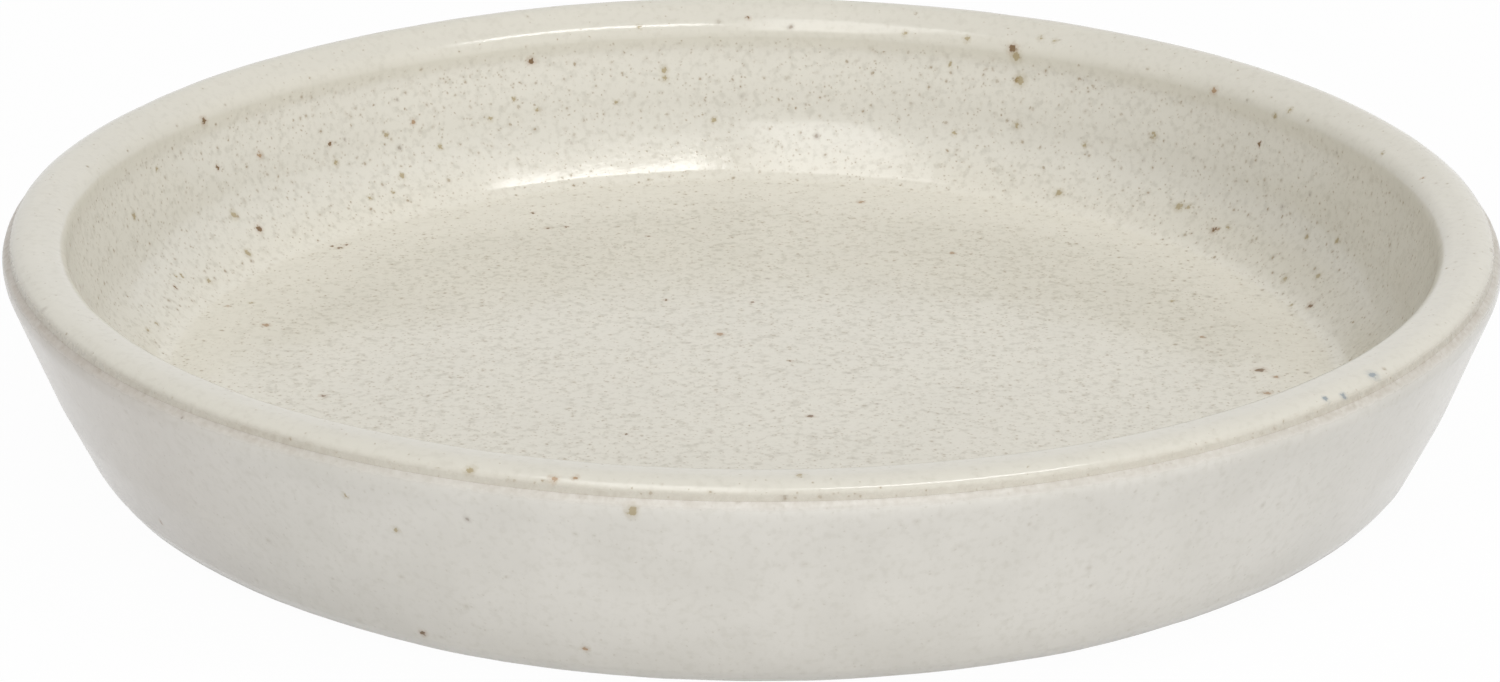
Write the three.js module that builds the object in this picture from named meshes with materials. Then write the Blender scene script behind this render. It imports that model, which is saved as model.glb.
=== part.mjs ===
// Shallow plant bowl: one fired stoneware dish under two coats of speckled cream glaze.
// The inside coat runs over the rim, the outside coat runs down to the bevel of the foot.
// Millimetres, +Z up. The origin is the centre of the circle that the foot stands on.
import * as THREE from "three";

// Overall sizes, over the glaze
const rimDiameter = 300;
const bowlHeight = 44.3;
const rimWidth = 11.8;

// Fired clay: wall and rim
const wallFlare = 20.5; // degrees that the outer wall leans out from upright, above its belly
const bellyFlare = 25; // the same below the belly
const bellyHeight = 16;
const bellyRadius = 60;
const wallThickness = 8.7; // across the wall, at the level of the inside floor
const outerLipRadius = 4.4;
const crownWidth = 5.4; // from the rim's outermost circle to where its inner half begins to fall
const shoulderSlope = 12; // degrees that the rim's inner half falls towards the bowl
const shoulderRadius = 6;
const innerLipRadius = 4.2;
const lipHeight = 6.2; // from the rim's top down to the crease under its inner lip
const lipLean = 8; // degrees that the face between the inner lip and the crease leans from upright
const creaseRadius = 14;

// Fired clay: floor and foot
const floorThickness = 5.8;
const coveSlope = 44; // degrees that the slope between the inside floor and the wall rises
const coveHeight = 10.4; // how far above the floor that slope reaches
const coveFootRadius = 8; // round between the floor and the slope
const coveHeadRadius = 14; // round between the slope and the wall
const footBevel = 3; // height and width of the bevel turned round the foot
const bevelRadius = 2.5;
const footRingWidth = 24; // flat bare ring that the bowl stands on
const footEdgeRadius = 1;
const recessDepth = 2; // turned recess inside the foot ring
const recessFlare = 3; // how far the recess widens towards the table
const recessRadius = 1.2;

// Glaze
const glazeThickness = 0.7;
const bondGap = 0.1; // clearance between the fired clay and a coat
const edgeThickness = 0.15; // where a coat thins out to its edge
const edgeTaper = 0.9; // over which it thins
const noseShares = [0.15, 0.5, 1]; // where the thinning stretch has its stations
const rimBreakWidth = 0.9; // bare line where both coats draw back from the outer lip
const rimBreakRise = 0.8; // how far that line lies above the middle of the lip's round
const poolThickness = 0.45; // more glaze, pooled in the cove
const poolReach = 17; // from the middle of the cove to the edge of the pool
const runHeight = 0.9; // mean height of the outside coat's lower edge
const runWave = 0.4; // how far that edge wanders up and down
const runWaves = [5, 13]; // waves of the wandering edge in one turn, long and short
const runShares = [0.6, 0.4]; // how much of the wandering each of the two has
const beadThickness = 0.3; // more glaze, gathered along that edge
const beadReach = 1.2;

// Facets
const segments = 60;
const arcStep = 22.5; // degrees
const shortestStep = 0.25; // shortest stretch of an arc, as a share of arcStep

const radians = THREE.MathUtils.degToRad;
const point = (r, z) => new THREE.Vector2(r, z);

// Points on an arc about a centre, in radians. They fall on whole multiples of arcStep between the two ends,
// so that the outermost and topmost points of a rounded edge are always points of the outline.
function arcPoints(centre, radius, from, to) {
  const step = radians(arcStep);
  const turn = Math.sign(to - from);
  const angles = [from];
  let next = turn > 0 ? Math.floor(from / step + 1) * step : Math.ceil(from / step - 1) * step;
  while (turn * (to - next) > step * shortestStep) {
    if (turn * (next - from) > step * shortestStep) angles.push(next);
    next += turn * step;
  }
  angles.push(to);
  return angles.map((a) => point(centre.x + radius * Math.cos(a), centre.y + radius * Math.sin(a)));
}

// The corner at b between a and c, rounded by an arc that touches both sides.
function roundedCorner(a, b, c, radius) {
  if (radius === 0) return [b];
  const toA = a.clone().sub(b).normalize();
  const toC = c.clone().sub(b).normalize();
  const half = Math.acos(toA.dot(toC)) / 2;
  const reach = radius / Math.tan(half);
  const middle = toA.clone().add(toC).normalize();
  const centre = b.clone().addScaledVector(middle, radius / Math.sin(half));
  const start = b.clone().addScaledVector(toA, reach).sub(centre).angle();
  const end = b.clone().addScaledVector(toC, reach).sub(centre).angle();
  const turn = Math.atan2(Math.sin(end - start), Math.cos(end - start));
  return arcPoints(centre, radius, start, start + turn);
}

// The fired clay's outline, from the axis under the floor, out, up, over the rim and back to the axis inside.
function clayOutline() {
  const coat = bondGap + glazeThickness;
  const top = bowlHeight - coat;
  const rim = rimDiameter / 2 - coat;
  const floor = recessDepth + floorThickness;
  const slope = (degrees) => Math.tan(radians(degrees));

  // The outer lip's sharp corner stands off its round's centre by this share of the radius
  const cornerShare = slope(wallFlare) + 1 / Math.cos(radians(wallFlare));
  const outerCorner = rim - outerLipRadius + outerLipRadius * cornerShare;
  const belly = point(outerCorner - (top - bellyHeight) * slope(wallFlare), bellyHeight);
  const wallAt = (z) => belly.x - (bellyHeight - z) * slope(bellyFlare);
  const foot = wallAt(footBevel) - footBevel;
  const ringInside = foot - footRingWidth;

  // Rim: level crown, sloping shoulder, inner lip and the crease under it
  const shoulder = point(rim - crownWidth, top);
  const innerLip = point(rimDiameter / 2 - rimWidth + coat, 0);
  innerLip.y = top - (shoulder.x - innerLip.x) * slope(shoulderSlope);
  const crease = point(innerLip.x - lipHeight * slope(lipLean), top - lipHeight);

  // Inside: the wall would meet the floor here, but a slope cuts across that corner
  const wallFoot = wallAt(floor) - wallThickness;
  const wallLean = (crease.x - wallFoot) / (crease.y - floor);
  const coveHead = point(wallFoot + coveHeight * wallLean, floor + coveHeight);
  const coveFoot = point(coveHead.x - coveHeight / slope(coveSlope), floor);

  const corners = [
    { at: point(0, recessDepth), radius: 0 },
    { at: point(ringInside - recessFlare, recessDepth), radius: recessRadius },
    { at: point(ringInside, 0), radius: footEdgeRadius },
    { at: point(foot, 0), radius: 0, mark: "foot" },
    { at: point(foot + footBevel, footBevel), radius: bevelRadius },
    { at: belly, radius: bellyRadius },
    { at: point(outerCorner, top), radius: outerLipRadius, mark: "outerLip" },
    { at: shoulder, radius: shoulderRadius },
    { at: innerLip, radius: innerLipRadius },
    { at: crease, radius: creaseRadius },
    { at: coveHead, radius: coveHeadRadius },
    { at: coveFoot, radius: coveFootRadius, mark: "cove" },
    { at: point(0, floor), radius: 0 },
  ];

  const points = [];
  const marks = {};
  corners.forEach((corner, i) => {
    const before = corners[Math.max(i - 1, 0)].at;
    const after = corners[Math.min(i + 1, corners.length - 1)].at;
    const rounded = roundedCorner(before, corner.at, after, corner.radius);
    if (corner.mark) marks[corner.mark] = points.length + Math.floor(rounded.length / 2);
    points.push(...rounded);
  });

  // Distance along the outline to each point, and to each marked point
  const lengths = [0];
  for (let i = 1; i < points.length; i++) lengths.push(lengths[i - 1] + points[i].distanceTo(points[i - 1]));
  const lengthAt = (mark) => lengths[marks[mark]];
  return { points, lengths, lengthAt, end: lengths[lengths.length - 1] };
}

const clay = clayOutline();
const rimBreak = clay.lengthAt("outerLip") + rimBreakRise;

// A point of the clay outline at a distance along it, moved off the surface by an offset.
// At a point of the outline the two sides are moved alike, so that every facet keeps its clearance.
function offClay(length, offset) {
  const { points, lengths } = clay;
  const last = points.length - 1;
  const normalOf = (i) => {
    const side = points[i + 1].clone().sub(points[i]).normalize();
    return point(side.y, -side.x);
  };
  let i = lengths.findIndex((l) => l > length) - 1;
  if (i < 0) i = last - 1;
  const share = (length - lengths[i]) / (lengths[i + 1] - lengths[i]);
  const normal = normalOf(i);
  const neighbour = share === 0 && i > 0 ? normalOf(i - 1) : normal;
  const mitre = normal.clone().add(neighbour).normalize();
  const place = points[i].clone().lerp(points[i + 1], share);
  return place.addScaledVector(mitre, offset / mitre.dot(normal));
}

// A coat between two distances along the clay: its free face, and the face bonded to the clay.
// extraLengths are stations that the coat needs besides the clay's own points.
function coatFaces(from, to, extraLengths, thicknessAt) {
  const inside = clay.lengths.filter((l) => l > from && l < to);
  const stations = [...inside, ...extraLengths, from, to].sort((a, b) => a - b);
  return {
    free: stations.map((l) => offClay(l, bondGap + thicknessAt(l))),
    bond: stations.map((l) => offClay(l, bondGap)),
  };
}

// How far a coat has thickened at a distance from its edge, from its edge share up to 1, in a round nose.
function edgeShare(distance) {
  const inward = Math.min(distance / edgeTaper, 1);
  const thin = edgeThickness / glazeThickness;
  return thin + (1 - thin) * Math.sqrt(1 - (1 - inward) ** 2);
}

// A smooth swelling, 1 in the middle and 0 at its reach.
const swelling = (distance, reach) => Math.max(0, 1 - (distance / reach) ** 2) ** 2;

// Stations along the round nose of a coat's edge, as distances in from the edge.
const noseStations = noseShares.map((share) => share * edgeTaper);

// Wet glaze ran down to a wandering line: its height on the foot's bevel at an angle round the bowl.
function runLineHeight(angle) {
  const long = runShares[0] * Math.sin(runWaves[0] * angle);
  const short = runShares[1] * Math.cos(runWaves[1] * angle);
  return runHeight + runWave * (long + short);
}

// Turn about Z a closed section that may change with the angle. Its first angle lies on -Y, like a lathe's.
function sweepRing(sectionAt) {
  const rings = [];
  for (let i = 0; i < segments; i++) {
    const angle = (2 * Math.PI * i) / segments;
    rings.push(sectionAt(angle).map((p) => [p.x * Math.sin(angle), -p.x * Math.cos(angle), p.y]));
  }
  const count = rings[0].length;
  const index = [];
  for (let i = 0; i < segments; i++) {
    for (let j = 0; j < count; j++) {
      const a = i * count + j;
      const b = ((i + 1) % segments) * count + j;
      const c = ((i + 1) % segments) * count + ((j + 1) % count);
      const d = i * count + ((j + 1) % count);
      index.push(a, b, d, c, d, b);
    }
  }
  const geometry = new THREE.BufferGeometry();
  geometry.setAttribute("position", new THREE.Float32BufferAttribute(rings.flat(2), 3));
  geometry.setIndex(index);
  geometry.computeVertexNormals();
  return geometry;
}

// Turn about Z a profile that starts and ends on the axis.
function lathe(profile) {
  return new THREE.LatheGeometry(profile, segments).rotateX(Math.PI / 2);
}

// Fired clay: floor, flaring wall, broad rim and turned foot
function stonewareBody() {
  return lathe(clay.points);
}

// Inside coat: floor, pooled cove, inner wall and rim, up to the break line on the outer lip
function insideGlaze() {
  const from = rimBreak + rimBreakWidth / 2;
  const cove = clay.lengthAt("cove");
  const nose = noseStations.map((d) => from + d);
  const poolEdges = [cove - poolReach, cove + poolReach];
  const thicknessAt = (l) =>
    glazeThickness * edgeShare(l - from) + poolThickness * swelling(l - cove, poolReach);
  const { free, bond } = coatFaces(from, clay.end, [...nose, ...poolEdges], thicknessAt);
  return lathe([...bond.reverse(), ...free]);
}

// Outside coat: from the break line down the wall to a beaded run line on the foot's bevel
function outsideGlaze() {
  const to = rimBreak - rimBreakWidth / 2;
  const upperNose = noseStations.map((d) => to - d);
  return sweepRing((angle) => {
    const from = clay.lengthAt("foot") + runLineHeight(angle) * Math.SQRT2;
    const lowerNose = noseStations.map((d) => from + d);
    const thicknessAt = (l) =>
      glazeThickness * edgeShare(l - from) * edgeShare(to - l) +
      beadThickness * swelling(l - from - edgeTaper, beadReach) * edgeShare(l - from);
    const { free, bond } = coatFaces(from, to, [...lowerNose, ...upperNose], thicknessAt);
    return [...free, ...bond.reverse()];
  });
}

function piece(name, geometry, material) {
  const mesh = new THREE.Mesh(geometry, material);
  mesh.name = name;
  return mesh;
}

const firedClay = new THREE.MeshStandardMaterial({ color: 0xa98b6f, roughness: 0.9, metalness: 0 });
const insideCream = new THREE.MeshStandardMaterial({ color: 0xd6d2c5, roughness: 0.28, metalness: 0 });
const outsideCream = new THREE.MeshStandardMaterial({ color: 0xd5d2ca, roughness: 0.35, metalness: 0 });

const bowl = new THREE.Group();
bowl.name = "shallow_plant_bowl";
bowl.add(
  piece("stoneware_body", stonewareBody(), firedClay),
  piece("inside_glaze", insideGlaze(), insideCream),
  piece("outside_glaze", outsideGlaze(), outsideCream),
);

export default bowl;
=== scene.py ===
"""Looks of a shallow plant bowl: turned stoneware under two coats of speckled cream glaze.

Lengths are metres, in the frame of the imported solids: +Z up, the foot ring on z = 0.
Angles round the bowl are degrees from +X towards +Y: 0 right, 90 back, 180 left, 270 front.
"""

import logging
import math
from abc import ABC, abstractmethod
from dataclasses import dataclass, fields, replace
from enum import Enum
from typing import Any, ClassVar, Sequence

import bpy
from mathutils import Matrix, Vector
from mathutils.bvhtree import BVHTree


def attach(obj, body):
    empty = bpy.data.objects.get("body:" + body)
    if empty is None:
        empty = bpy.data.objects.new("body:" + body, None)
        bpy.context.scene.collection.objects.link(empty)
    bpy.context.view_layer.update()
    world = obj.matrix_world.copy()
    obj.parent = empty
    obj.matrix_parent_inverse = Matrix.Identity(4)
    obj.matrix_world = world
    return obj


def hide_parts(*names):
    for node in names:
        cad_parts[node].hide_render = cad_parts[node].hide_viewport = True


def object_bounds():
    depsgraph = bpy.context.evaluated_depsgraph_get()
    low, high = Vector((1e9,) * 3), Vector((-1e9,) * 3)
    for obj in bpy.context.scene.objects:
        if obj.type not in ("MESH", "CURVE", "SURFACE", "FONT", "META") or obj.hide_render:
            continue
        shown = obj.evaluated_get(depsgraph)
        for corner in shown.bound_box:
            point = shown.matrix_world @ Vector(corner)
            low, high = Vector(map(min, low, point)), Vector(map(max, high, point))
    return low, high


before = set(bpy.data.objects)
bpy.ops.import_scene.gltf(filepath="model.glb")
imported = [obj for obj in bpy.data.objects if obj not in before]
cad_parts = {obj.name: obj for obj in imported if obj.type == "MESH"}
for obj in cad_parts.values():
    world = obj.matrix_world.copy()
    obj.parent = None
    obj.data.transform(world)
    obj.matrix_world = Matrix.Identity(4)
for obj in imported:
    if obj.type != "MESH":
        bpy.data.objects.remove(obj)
CAD_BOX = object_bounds()

MM = 0.001
LOG = logging.getLogger("plant_bowl")

Colour = tuple[float, float, float]
Socket = bpy.types.NodeSocket


class Coat(Enum):
    """The two coats of glaze, by the solid that each one stands for."""

    INSIDE = "inside_glaze"
    OUTSIDE = "outside_glaze"


class Tone(Enum):
    """What a single large speck is made of, by its colour (linear)."""

    IRON = (0.15, 0.07, 0.01)
    RUST = (0.33, 0.17, 0.045)
    OLIVE = (0.36, 0.28, 0.13)
    ASH = (0.20, 0.25, 0.29)


class Wiring:
    """Adds nodes to one tree and links them, so that a finish or a shape reads as a list of steps."""

    def __init__(self, tree: bpy.types.NodeTree) -> None:
        """Keeps the tree that the nodes go into."""
        self.tree = tree

    def feed(self, socket: Socket, value: Any) -> None:
        """Links an input to a socket, or writes a plain value on it.

        Args:
            socket: The input to fill.
            value: A socket to link from, or a value.
        """
        if isinstance(value, bpy.types.NodeSocket):
            self.tree.links.new(value, socket)
        else:
            socket.default_value = value

    def node(self, kind: str, inputs: dict[str | int, Any] | None = None, **settings: Any) -> bpy.types.Node:
        """Adds a node.

        Args:
            kind: The node's type name.
            inputs: Values or sockets for its inputs, by name or place.
            settings: The node's own options.

        Returns:
            The new node.
        """
        node = self.tree.nodes.new(kind)
        for key, value in settings.items():
            setattr(node, key, value)
        for key, value in (inputs or {}).items():
            self.feed(node.inputs[key], value)
        return node

    def math(self, operation: str, *values: Any, clamp: bool = False) -> Socket:
        """Adds a Math node, by its operation and its inputs in order."""
        inputs = dict(enumerate(values))
        return self.node("ShaderNodeMath", inputs, operation=operation, use_clamp=clamp).outputs[0]

    def plus(self, first: Any, second: Any) -> Socket:
        """Adds two numbers."""
        return self.math("ADD", first, second)

    def minus(self, first: Any, second: Any, clamp: bool = False) -> Socket:
        """Takes the second number from the first."""
        return self.math("SUBTRACT", first, second, clamp=clamp)

    def times(self, product: Any, *others: Any) -> Socket:
        """Multiplies numbers, from the first to the last."""
        for other in others:
            product = self.math("MULTIPLY", product, other)
        return product

    def between(self, share: Any, low: float, high: float) -> Socket:
        """Goes evenly from low, at a share of 0, to high, at 1."""
        return self.math("MULTIPLY_ADD", share, high - low, low)

    def vector(self, operation: str, *values: Any, output: str = "Vector") -> Socket:
        """Adds a Vector Math node; "Value" is its output for a length, distance or dot product."""
        inputs = dict(enumerate(values))
        return self.node("ShaderNodeVectorMath", inputs, operation=operation).outputs[output]

    def scaled(self, vector: Any, factor: Any) -> Socket:
        """Scales a vector by a number."""
        node = self.node("ShaderNodeVectorMath", {0: vector, "Scale": factor}, operation="SCALE")
        return node.outputs["Vector"]

    def combined(self, x: Any, y: Any, z: Any) -> Socket:
        """Makes a vector from three numbers."""
        return self.node("ShaderNodeCombineXYZ", {0: x, 1: y, 2: z}).outputs[0]

    def ramp(self, value: Any, low: Any, high: Any) -> Socket:
        """Eases a value from 0 at low to 1 at high, whichever of the two is larger."""
        inputs = {"Value": value, "From Min": low, "From Max": high}
        return self.node("ShaderNodeMapRange", inputs, interpolation_type="SMOOTHSTEP").outputs[0]

    def mix(self, share: Any, first: Any, second: Any) -> Socket:
        """Mixes two colours.

        Args:
            share: How much of the second colour, from 0 to 1.
            first: The colour at 0.
            second: The colour at 1.

        Returns:
            The mixed colour.
        """
        node = self.node("ShaderNodeMix", data_type="RGBA", clamp_factor=True)
        self.feed(node.inputs[0], share)
        self.feed(node.inputs[6], opaque(first))
        self.feed(node.inputs[7], opaque(second))
        return node.outputs[2]

    def noise(self, place: Any, scale: Any, detail: float = 1.0, seed: Any = 0.0) -> bpy.types.Node:
        """Adds smooth noise; output 0 is a number from 0 to 1, and output 1 is three of them.

        Args:
            place: Where it is read, in metres.
            scale: How many lumps there are in a metre.
            detail: Finer layers of noise on top.
            seed: Which of many such patterns.

        Returns:
            The noise node.
        """
        inputs = {"Vector": place, "W": seed, "Scale": scale, "Detail": detail}
        return self.node("ShaderNodeTexNoise", inputs, noise_dimensions="4D")


def opaque(colour: Any) -> Any:
    """Gives a plain colour its fourth number, and leaves a socket as it is."""
    return colour if isinstance(colour, bpy.types.NodeSocket) else (*colour, 1.0)


def fresh_wiring(owner: bpy.types.Material | bpy.types.World) -> Wiring:
    """Empties the node tree of a material or a world, to be wired anew.

    Args:
        owner: The material or the world.

    Returns:
        The wiring of its tree.
    """
    owner.use_nodes = True
    owner.node_tree.nodes.clear()
    return Wiring(owner.node_tree)


@dataclass(frozen=True)
class Pattern:
    """A soft cloudy pattern in clay or glaze."""

    size: float  # of its lumps
    detail: float
    low: float  # where the noise begins to show
    high: float  # where it shows in full
    seed: float

    def shown(self, w: Wiring, place: Socket) -> Socket:
        """Reads the pattern at a place: 0 where it doesn't show, 1 where it shows in full."""
        return w.ramp(w.noise(place, 1 / self.size, self.detail, self.seed).outputs[0], self.low, self.high)


@dataclass(frozen=True)
class PhotoCamera:
    """The photograph's viewpoint, fitted to the ellipses of the rim and the foot."""

    image: tuple[int, int] = (1500, 682)
    focal_pixels: float = 5000.0
    sensor: float = 36.0  # millimetres
    clip_end: float = 100.0
    aim: tuple[float, float, float] = (-0.28 * MM, 0.0, 15.10 * MM)
    distance: float = 1016.4 * MM
    elevation: float = 20.70
    roll: float = 0.30

    def matrix(self) -> Matrix:
        """Works out the camera's place in the frame.

        Returns:
            The camera's axes and place.
        """
        rise = math.radians(self.elevation)
        turn = math.radians(self.roll)
        back = Vector((0.0, -math.cos(rise), math.sin(rise)))
        level = Vector((1.0, 0.0, 0.0))
        upright = back.cross(level)
        right = math.cos(turn) * level + math.sin(turn) * upright
        up = math.cos(turn) * upright - math.sin(turn) * level
        turned = Matrix((right, up, back)).transposed().to_4x4()
        return Matrix.Translation(Vector(self.aim) + back * self.distance) @ turned

    def ray(self, pixel: tuple[float, float]) -> tuple[Vector, Vector]:
        """Follows a pixel of the photograph into the scene.

        Args:
            pixel: Column and row in the photograph.

        Returns:
            Where the ray starts and its direction.
        """
        matrix = self.matrix()
        across = (pixel[0] - self.image[0] / 2) / self.focal_pixels
        down = (pixel[1] - self.image[1] / 2) / self.focal_pixels
        return matrix.translation, (matrix.to_3x3() @ Vector((across, -down, -1.0))).normalized()

    def build(self) -> None:
        """Makes the camera and hands it to the scene."""
        data = bpy.data.cameras.new("photo_camera")
        data.sensor_width = self.sensor
        data.lens = self.focal_pixels * self.sensor / self.image[0]
        data.clip_end = self.clip_end
        camera = bpy.data.objects.new("photo_camera", data)
        camera.matrix_world = self.matrix()
        bpy.context.scene.collection.objects.link(camera)
        bpy.context.scene.camera = camera


@dataclass(frozen=True)
class Corner:
    """A corner of the clay's section, before it is rounded, and a name where something hangs on it."""

    r: float
    z: float
    radius: float = 0.0
    name: str = ""

    @property
    def place(self) -> Vector:
        """The corner as a point of the section."""
        return Vector((self.r, self.z))


@dataclass(frozen=True)
class Station:
    """One point of a section that is turned, with what the glaze is like there."""

    r: float
    z: float
    free: float = 0.0  # 1 on a coat's free face, where it may ripple
    thin: float = 0.0  # 1 where the coat is so thin that the clay shows through
    crease: float = 0.0  # 1 in the crease under the inner lip
    pool: float = 0.0  # 1 where the coat is pooled
    wall: float = 0.0  # 1 on a wall, 0 on the floor
    rim: float = 0.0  # 1 on the rounded rim
    slide: tuple[float, float] = (0.0, 0.0)  # how a wandering edge moves here, along the clay


class SectionLine:
    """The clay's outline: from the axis below, out, up, over the rim and back to the axis inside."""

    NEAR = 0.001 * MM  # lengths closer than this are the same

    def __init__(self, corners: Sequence[Corner], straight_step: float, round_step: float) -> None:
        """Rounds the corners and divides the line.

        Args:
            corners: The sharp corners in order.
            straight_step: How far apart the points of a straight stretch are at most.
            round_step: The same on a round.
        """
        self.points: list[Vector] = []
        self.normals: list[Vector] = []
        self.lengths: list[float] = []
        self.marks: dict[str, float] = {}
        for i, corner in enumerate(corners):
            before = corners[max(i - 1, 0)].place
            after = corners[min(i + 1, len(corners) - 1)].place
            rounded = self._rounded(before, corner, after, round_step)
            self._straight_to(rounded[0], straight_step)
            first = len(self.points)
            for point, normal in rounded:
                self._append(point, normal)
            if corner.name:
                self.marks[corner.name] = (self.lengths[first] + self.lengths[-1]) / 2

    @staticmethod
    def _right_of(direction: Vector) -> Vector:
        """Turns a direction of travel to the side that faces out of the clay."""
        return Vector((direction.y, -direction.x)).normalized()

    def _rounded(
        self, before: Vector, corner: Corner, after: Vector, step: float
    ) -> list[tuple[Vector, Vector]]:
        """Rounds one corner by an arc that touches both of its sides.

        Args:
            before: The corner before it.
            corner: The corner itself.
            after: The corner after it.
            step: How far apart the arc's points are at most.

        Returns:
            Points and outward normals along the arc.
        """
        place = corner.place
        if corner.radius == 0:
            along = (after - place) + (place - before)
            return [(place, self._right_of(along))]
        to_before = (before - place).normalized()
        to_after = (after - place).normalized()
        half = to_before.angle(to_after) / 2
        centre = place + (to_before + to_after).normalized() * corner.radius / math.sin(half)
        reach = corner.radius / math.tan(half)
        start = place + to_before * reach - centre
        end = place + to_after * reach - centre
        turn = math.atan2(start.x * end.y - start.y * end.x, start.dot(end))
        count = max(2, math.ceil(abs(turn) * corner.radius / step))
        first = math.atan2(start.y, start.x)
        arc = []
        for i in range(count + 1):
            angle = first + turn * i / count
            spoke = Vector((math.cos(angle), math.sin(angle)))
            arc.append((centre + spoke * corner.radius, spoke * math.copysign(1.0, turn)))
        return arc

    def _append(self, point: Vector, normal: Vector) -> None:
        """Adds a point to the end of the line.

        Args:
            point: The point in the section.
            normal: Which way is out of the clay there.
        """
        step = (point - self.points[-1]).length if self.points else 0.0
        self.lengths.append((self.lengths[-1] if self.lengths else 0.0) + step)
        self.points.append(point)
        self.normals.append(normal)

    def _straight_to(self, target: tuple[Vector, Vector], step: float) -> None:
        """Divides the straight stretch up to the next round, without its two ends.

        Args:
            target: Where the round begins, and its normal there.
            step: How far apart the points are at most.
        """
        if not self.points:
            return
        start = self.points[-1]
        stretch = target[0] - start
        count = math.ceil(stretch.length / step)
        for i in range(1, count):
            self._append(start + stretch * i / count, self._right_of(stretch))

    @property
    def end(self) -> float:
        """The line's whole length."""
        return self.lengths[-1]

    def between(self, start: float, stop: float) -> list[float]:
        """Lists the lengths of the line's own points between two lengths, ends excluded."""
        return [length for length in self.lengths if start + self.NEAR < length < stop - self.NEAR]

    def off(self, length: float, offset: float) -> Vector:
        """Finds a point that stands off the clay.

        Args:
            length: Distance along the line.
            offset: Distance off the clay.

        Returns:
            The point in the section.
        """
        i = self._stretch(length)
        share = (length - self.lengths[i]) / (self.lengths[i + 1] - self.lengths[i])
        normal = self.normals[i].lerp(self.normals[i + 1], share).normalized()
        return self.points[i].lerp(self.points[i + 1], share) + normal * offset

    def along(self, length: float) -> Vector:
        """Gives the direction of the line at a length."""
        i = self._stretch(length)
        return (self.points[i + 1] - self.points[i]).normalized()

    def _stretch(self, length: float) -> int:
        """Finds the stretch of the line that a length falls on.

        Args:
            length: Distance along the line.

        Returns:
            The place in the list of the point that begins the stretch.
        """
        for i in range(len(self.lengths) - 1):
            if length <= self.lengths[i + 1]:
                return i
        return len(self.lengths) - 2


@dataclass(frozen=True)
class ClaySection:
    """Sizes of the turned clay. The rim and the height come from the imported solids' box."""

    rim_radius: float = min(CAD_BOX[1].x, CAD_BOX[1].y)
    height: float = CAD_BOX[1].z
    allowance: float = 0.16 * MM  # kept back for ripples, so that the glaze stays inside the solids' box
    coat: float = 0.8 * MM  # glaze and its clearance
    rim_width: float = 12.6 * MM
    wall_flare: float = 20.5  # degrees that the outer wall leans out from upright, above its belly
    belly_flare: float = 25.0  # the same below the belly
    belly_height: float = 16.0 * MM
    belly_round: float = 60.0 * MM
    wall_thickness: float = 8.7 * MM
    outer_lip: float = 4.4 * MM
    crown_width: float = 5.4 * MM  # from the rim's outermost circle to where its inner half begins to fall
    shoulder_slope: float = 12.0  # degrees that the rim's inner half falls towards the bowl
    shoulder_round: float = 6.0 * MM
    lip_round: float = 3.3 * MM
    lip_height: float = 6.2 * MM  # from the rim's top down to the crease under its inner lip
    lip_lean: float = 8.0  # degrees that the face between the inner lip and the crease leans from upright
    crease_round: float = 12.0 * MM
    floor_thickness: float = 5.8 * MM
    cove_slope: float = 45.0  # degrees that the slope between floor and wall rises
    cove_height: float = 11.4 * MM
    cove_foot: float = 8.0 * MM  # round between the floor and the slope
    cove_head: float = 17.0 * MM  # round between the slope and the wall
    foot_bevel: float = 3.0 * MM
    bevel_round: float = 2.5 * MM
    foot_ring: float = 24.0 * MM
    foot_edge: float = 1.0 * MM
    recess_depth: float = 2.0 * MM
    recess_flare: float = 3.0 * MM
    recess_round: float = 1.2 * MM
    straight_step: float = 2.4 * MM
    round_step: float = 0.6 * MM

    def line(self) -> SectionLine:
        """Works out the corners and rounds them.

        Returns:
            The outline, with the foot, the outer lip, the crease and the cove marked on it.
        """
        top = self.height - self.coat - self.allowance
        rim = self.rim_radius - self.coat - self.allowance
        lip = self.rim_radius - self.rim_width + self.coat
        floor = self.recess_depth + self.floor_thickness
        flare = math.radians(self.wall_flare)
        belly_lean = math.tan(math.radians(self.belly_flare))

        # The outer lip's sharp corner stands off its round by a share of the radius that follows the flare
        outer_corner = rim + self.outer_lip * ((1 + math.sin(flare)) / math.cos(flare) - 1)
        shoulder = rim - self.crown_width
        lip_top = top - (shoulder - lip) * math.tan(math.radians(self.shoulder_slope))
        belly = outer_corner - (top - self.belly_height) * math.tan(flare)
        bevel = belly - (self.belly_height - self.foot_bevel) * belly_lean
        foot = bevel - self.foot_bevel
        ring_inside = foot - self.foot_ring
        lip_lean = math.tan(math.radians(self.lip_lean))
        crease = Vector((lip - self.lip_height * lip_lean, top - self.lip_height))
        wall_foot = belly - (self.belly_height - floor) * belly_lean - self.wall_thickness
        wall_lean = (crease.x - wall_foot) / (crease.y - floor)
        cove_head = wall_foot + self.cove_height * wall_lean
        cove_foot = cove_head - self.cove_height / math.tan(math.radians(self.cove_slope))

        return SectionLine(
            [
                Corner(0.0, self.recess_depth),
                Corner(ring_inside - self.recess_flare, self.recess_depth, self.recess_round),
                Corner(ring_inside, 0.0, self.foot_edge),
                Corner(foot, 0.0, 0.0, "foot"),
                Corner(bevel, self.foot_bevel, self.bevel_round),
                Corner(belly, self.belly_height, self.belly_round),
                Corner(outer_corner, top, self.outer_lip, "outer_lip"),
                Corner(shoulder, top, self.shoulder_round),
                Corner(lip, lip_top, self.lip_round),
                Corner(crease.x, crease.y, self.crease_round, "crease"),
                Corner(cove_head, floor + self.cove_height, self.cove_head, "cove_head"),
                Corner(cove_foot, floor, self.cove_foot, "cove_foot"),
                Corner(0.0, floor),
            ],
            self.straight_step,
            self.round_step,
        )


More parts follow.
